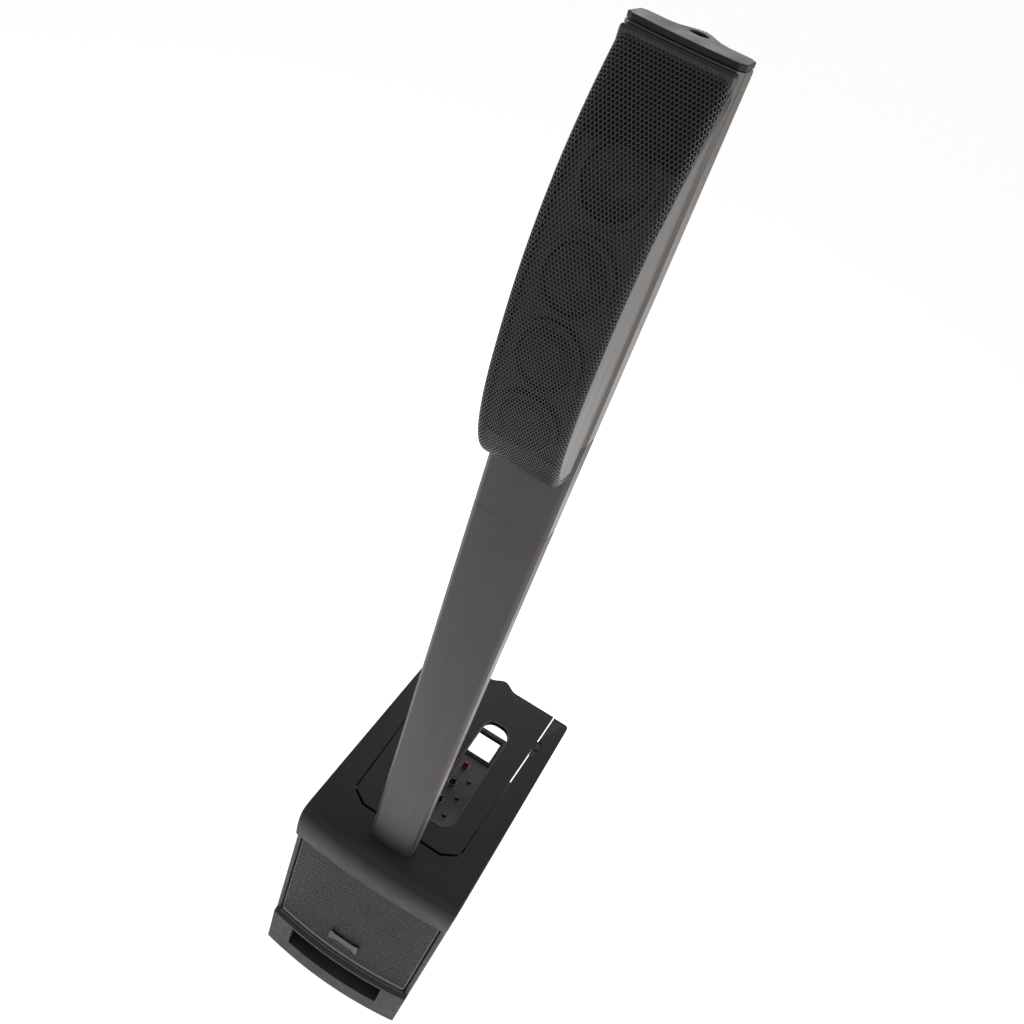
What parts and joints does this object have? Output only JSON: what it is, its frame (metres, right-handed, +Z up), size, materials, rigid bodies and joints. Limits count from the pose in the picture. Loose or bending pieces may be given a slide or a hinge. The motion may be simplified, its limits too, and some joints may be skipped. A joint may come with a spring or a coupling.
{
  "type": "column loudspeaker",
  "caption": "Portable column loudspeaker: a ported bass cabinet with a mixer at the back, stacked spacers and a curved driver array on top.",
  "frame": {"origin": "on the floor, under the middle of the footprint", "axes": "+X to the right seen from in front, +Y to the back, +Z up along the column"},
  "size_m": [0.385, 0.656, 2.01],
  "materials": {
    "charcoal_plastic": "moulded satin with a fine spark texture",
    "warm_grey_metal": "satin paint on extruded aluminium",
    "black_mesh": "powder-coated perforated steel",
    "black_plastic": "satin",
    "red_plastic": "satin",
    "grey_plastic": "satin",
    "foot_rubber": "matt",
    "bare_aluminium": "brushed",
    "black_board": "painted board",
    "paper_cone": "matt fibre",
    "driver_steel": "black paint",
    "magnet_iron": "dull",
    "circuit_green": "satin"
  },
  "bodies": {
    "base": {"plinth": "charcoal_plastic", "port_duct": "black_plastic", "cabinet_floor": "black_board", "side_panel_left": "charcoal_plastic", "side_panel_right": "charcoal_plastic", "foot_front_left": "foot_rubber", "foot_front_right": "foot_rubber", "foot_rear_left": "foot_rubber", "foot_rear_right": "foot_rubber", "front_baffle": "black_board", "woofer_basket": "driver_steel", "woofer_magnet": "magnet_iron", "rear_wall": "charcoal_plastic", "power_inlet": "black_plastic", "heatsink": "bare_aluminium", "amplifier_board": "circuit_green", "top_shell": "charcoal_plastic", "handle_tongue": "charcoal_plastic", "column_socket": "black_plastic", "front_grille": "black_mesh", "badge_plate": "bare_aluminium", "mixer_panel": "black_plastic", "input_socket_1": "black_plastic", "input_socket_2": "black_plastic", "input_socket_3": "black_plastic", "input_socket_4": "black_plastic", "rear_handle": "charcoal_plastic"},
    "lower_section": {"lower_spacer": "warm_grey_metal", "lower_spacer_plug": "black_plastic", "lower_spacer_socket": "black_plastic"},
    "upper_section": {"upper_spacer": "warm_grey_metal", "upper_spacer_plug": "black_plastic", "upper_spacer_socket": "black_plastic"},
    "array_section": {"array_neck": "warm_grey_metal", "array_plug": "black_plastic", "array_housing": "warm_grey_metal", "array_baffle": "black_plastic", "array_driver_1": "driver_steel", "array_driver_2": "driver_steel", "array_driver_3": "driver_steel", "array_driver_4": "driver_steel", "array_grille": "black_mesh", "array_cap": "charcoal_plastic"},
    "woofer_diaphragm": {"woofer_cone": "paper_cone"},
    "mains_rocker": {"power_switch": "black_plastic"},
    "knob_1_1_body": {"knob_1_1": "black_plastic"},
    "knob_1_2_body": {"knob_1_2": "black_plastic"},
    "knob_1_3_body": {"knob_1_3": "black_plastic"},
    "knob_2_1_body": {"knob_2_1": "black_plastic"},
    "knob_2_2_body": {"knob_2_2": "black_plastic"},
    "knob_2_3_body": {"knob_2_3": "black_plastic"},
    "knob_3_1_body": {"knob_3_1": "black_plastic"},
    "knob_3_2_body": {"knob_3_2": "black_plastic"},
    "knob_3_3_body": {"knob_3_3": "red_plastic"},
    "button_1_body": {"button_1": "grey_plastic"},
    "button_2_body": {"button_2": "grey_plastic"},
    "button_3_body": {"button_3": "grey_plastic"}
  },
  "joints": [
    {"name": "lower_lift", "type": "slide", "parent": "base", "child": "lower_section", "axis": [0, 0, 1], "range_m": [0, 0.05]},
    {"name": "upper_lift", "type": "slide", "parent": "lower_section", "child": "upper_section", "axis": [0, 0, 1], "range_m": [0, 0.05]},
    {"name": "array_lift", "type": "slide", "parent": "upper_section", "child": "array_section", "axis": [0, 0, 1], "range_m": [0, 0.05]},
    {"name": "woofer_travel", "type": "slide", "parent": "base", "child": "woofer_diaphragm", "axis": [0, -0.9895, 0.1442], "range_m": [-0.004, 0.004], "stiffness_N_per_m": 4000},
    {"name": "mains_rocker_tilt", "type": "hinge", "parent": "base", "child": "mains_rocker", "pos_m": [0.05, 0.2162, 0.3], "axis": [1, 0, 0], "range_deg": [-16, 0]},
    {"name": "knob_1_1_turn", "type": "hinge", "parent": "base", "child": "knob_1_1_body", "pos_m": [-0.061, 0.00696, 0.49773], "axis": [0, 0.4189, 0.908], "range_deg": [-140, 140]},
    {"name": "knob_1_2_turn", "type": "hinge", "parent": "base", "child": "knob_1_2_body", "pos_m": [-0.021, 0.00696, 0.49773], "axis": [0, 0.4189, 0.908], "range_deg": [-140, 140]},
    {"name": "knob_1_3_turn", "type": "hinge", "parent": "base", "child": "knob_1_3_body", "pos_m": [0.019, 0.00696, 0.49773], "axis": [0, 0.4189, 0.908], "range_deg": [-140, 140]},
    {"name": "knob_2_1_turn", "type": "hinge", "parent": "base", "child": "knob_2_1_body", "pos_m": [-0.061, 0.08415, 0.46213], "axis": [0, 0.4189, 0.908], "range_deg": [-140, 140]},
    {"name": "knob_2_2_turn", "type": "hinge", "parent": "base", "child": "knob_2_2_body", "pos_m": [-0.021, 0.08415, 0.46213], "axis": [0, 0.4189, 0.908], "range_deg": [-140, 140]},
    {"name": "knob_2_3_turn", "type": "hinge", "parent": "base", "child": "knob_2_3_body", "pos_m": [0.019, 0.08415, 0.46213], "axis": [0, 0.4189, 0.908], "range_deg": [-140, 140]},
    {"name": "knob_3_1_turn", "type": "hinge", "parent": "base", "child": "knob_3_1_body", "pos_m": [-0.061, 0.16133, 0.42653], "axis": [0, 0.4189, 0.908], "range_deg": [-140, 140]},
    {"name": "knob_3_2_turn", "type": "hinge", "parent": "base", "child": "knob_3_2_body", "pos_m": [-0.021, 0.16133, 0.42653], "axis": [0, 0.4189, 0.908], "range_deg": [-140, 140]},
    {"name": "knob_3_3_turn", "type": "hinge", "parent": "base", "child": "knob_3_3_body", "pos_m": [0.019, 0.16133, 0.42653], "axis": [0, 0.4189, 0.908], "range_deg": [-140, 140]},
    {"name": "button_1_press", "type": "slide", "parent": "base", "child": "button_1_body", "axis": [0, 0.4189, 0.908], "range_m": [-0.002, 0], "stiffness_N_per_m": 400},
    {"name": "button_2_press", "type": "slide", "parent": "base", "child": "button_2_body", "axis": [0, 0.4189, 0.908], "range_m": [-0.002, 0], "stiffness_N_per_m": 400},
    {"name": "button_3_press", "type": "slide", "parent": "base", "child": "button_3_body", "axis": [0, 0.4189, 0.908], "range_m": [-0.002, 0], "stiffness_N_per_m": 400}
  ]
}
